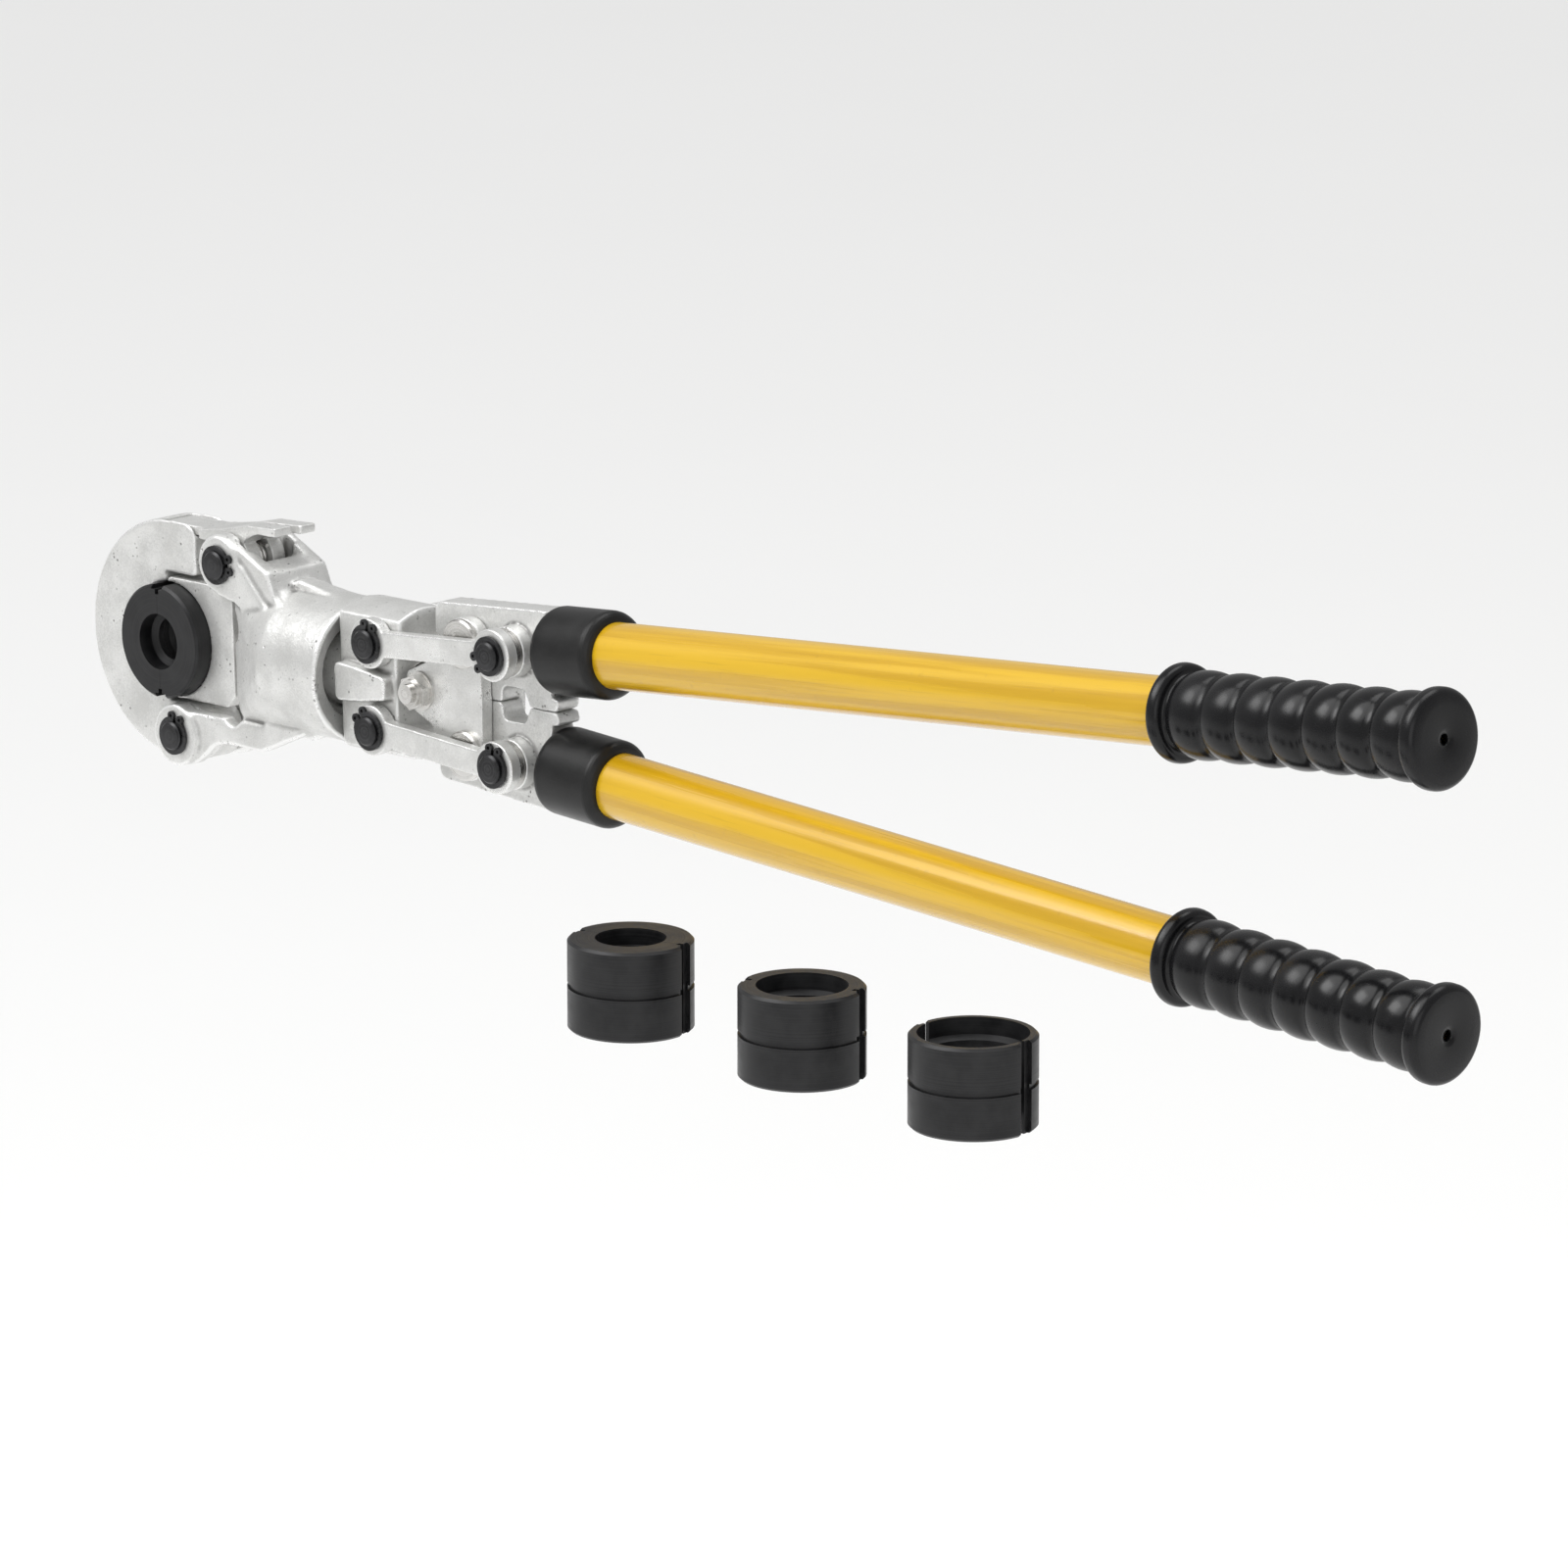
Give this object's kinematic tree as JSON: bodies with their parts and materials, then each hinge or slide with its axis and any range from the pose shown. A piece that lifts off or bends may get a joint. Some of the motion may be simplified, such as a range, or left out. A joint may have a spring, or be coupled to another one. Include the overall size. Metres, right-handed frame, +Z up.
{
  "type": "manual pipe press tool with spare dies",
  "caption": "Hand-operated pipe press: hinged C jaw with a spring latch, a sliding jaw driven by a double toggle, long handles with ringed grips, and loose split dies standing beside it.",
  "frame": {"origin": "middle of the fitted die set's bore", "axes": "+X along the tool to the grips, +Y along every pivot pin and the pipe, +Z up to the upper handle; the tool stands on its lower ears and lower grip, tilted 1.97 degrees about Y"},
  "size_m": [0.7535, 0.216, 0.15],
  "materials": {
    "silver_casting": "silver paint over a rough drop forging",
    "silver_plate": "silver paint over pressed plate",
    "ground_steel": "turned and ground steel",
    "black_pin": "blackened hardened steel",
    "die_steel": "satin blackened tool steel, oiled",
    "yellow_paint": "glossy amber lacquer over steel tube",
    "black_paint": "satin black paint",
    "black_vinyl": "moulded soft vinyl"
  },
  "bodies": {
    "head": {"head_body": "silver_casting", "yoke": "silver_casting", "neck_set_screws": "ground_steel", "latch_pin": "black_pin", "jaw_pin": "black_pin", "head_rings": "black_pin", "yoke_pin_upper": "black_pin", "yoke_pin_lower": "black_pin", "yoke_rings": "black_pin", "latch_spring": "ground_steel"},
    "latch": {"latch_lever": "silver_casting"},
    "hinged_jaw": {"c_jaw": "silver_casting", "c_jaw_die": "die_steel", "c_jaw_detent": "ground_steel"},
    "ram": {"sliding_jaw": "silver_casting", "sliding_jaw_die": "die_steel", "sliding_jaw_detent": "ground_steel", "push_rod": "ground_steel", "front_centre_plate": "silver_plate", "back_centre_plate": "silver_plate", "centre_bolt": "ground_steel", "centre_nut": "ground_steel", "centre_washers": "ground_steel", "toggle_pin_upper": "ground_steel", "toggle_pin_lower": "ground_steel"},
    "upper_link": {"upper_front_link": "silver_plate", "upper_back_link": "silver_plate"},
    "lower_link": {"lower_front_link": "silver_plate", "lower_back_link": "silver_plate"},
    "upper_handle": {"upper_lever": "silver_casting", "upper_lever_pin": "black_pin", "upper_lever_rings": "black_pin", "upper_spacers": "ground_steel", "upper_collar": "black_paint", "upper_tube": "yellow_paint", "upper_grip": "black_vinyl"},
    "lower_handle": {"lower_lever": "silver_casting", "lower_lever_pin": "black_pin", "lower_lever_rings": "black_pin", "lower_spacers": "ground_steel", "lower_collar": "black_paint", "lower_tube": "yellow_paint", "lower_grip": "black_vinyl"},
    "die_set_20": {"die_20_half_a": "die_steel", "die_20_half_b": "die_steel"},
    "die_set_26": {"die_26_half_a": "die_steel", "die_26_half_b": "die_steel"},
    "die_set_32": {"die_32_half_a": "die_steel", "die_32_half_b": "die_steel"}
  },
  "joints": [
    {"name": "upper_handle_open", "type": "hinge", "parent": "ram", "child": "upper_handle", "pos_m": [0.18015, 0, 0.02921], "axis": [0, -1, 0], "range_deg": [0, 50]},
    {"name": "lower_handle_open", "type": "hinge", "parent": "ram", "child": "lower_handle", "pos_m": [0.18173, 0, -0.01676], "axis": [0, 1, 0], "range_deg": [0, 50.2]},
    {"name": "ram_stroke", "type": "slide", "parent": "head", "child": "ram", "axis": [0.9994, 0, 0.0344], "range_m": [0, 0.0039]},
    {"name": "upper_link_swing", "type": "hinge", "parent": "head", "child": "upper_link", "pos_m": [0.13285, 0, 0.02258], "axis": [0, -1, 0], "range_deg": [0, 16.5]},
    {"name": "lower_link_swing", "type": "hinge", "parent": "head", "child": "lower_link", "pos_m": [0.13409, 0, -0.0134], "axis": [0, 1, 0], "range_deg": [0, 16.5]},
    {"name": "c_jaw_open", "type": "hinge", "parent": "head", "child": "hinged_jaw", "pos_m": [0.00981, 0, -0.038], "axis": [0, -1, 0], "range_deg": [0, 90]},
    {"name": "latch_lift", "type": "hinge", "parent": "head", "child": "latch", "pos_m": [0.03793, 0, 0.03898], "axis": [0, 1, 0], "range_deg": [0, 8], "stiffness_Nm_per_rad": 1.2, "springref_deg": -5.73},
    {"name": "die_set_20_lift", "type": "slide", "parent": "head", "child": "die_set_20", "axis": [0, 0, 1], "range_m": [0, 0.1]},
    {"name": "die_set_26_lift", "type": "slide", "parent": "head", "child": "die_set_26", "axis": [0, 0, 1], "range_m": [0, 0.1]},
    {"name": "die_set_32_lift", "type": "slide", "parent": "head", "child": "die_set_32", "axis": [0, 0, 1], "range_m": [0, 0.1]}
  ],
  "couplings": [
    {"joint": "lower_handle_open", "follows": "upper_handle_open", "ratio": 1},
    {"joint": "ram_stroke", "follows": "upper_handle_open", "m_per_rad": 0.0044552},
    {"joint": "upper_link_swing", "follows": "upper_handle_open", "ratio": 0.3269},
    {"joint": "lower_link_swing", "follows": "upper_handle_open", "ratio": 0.3269}
  ]
}
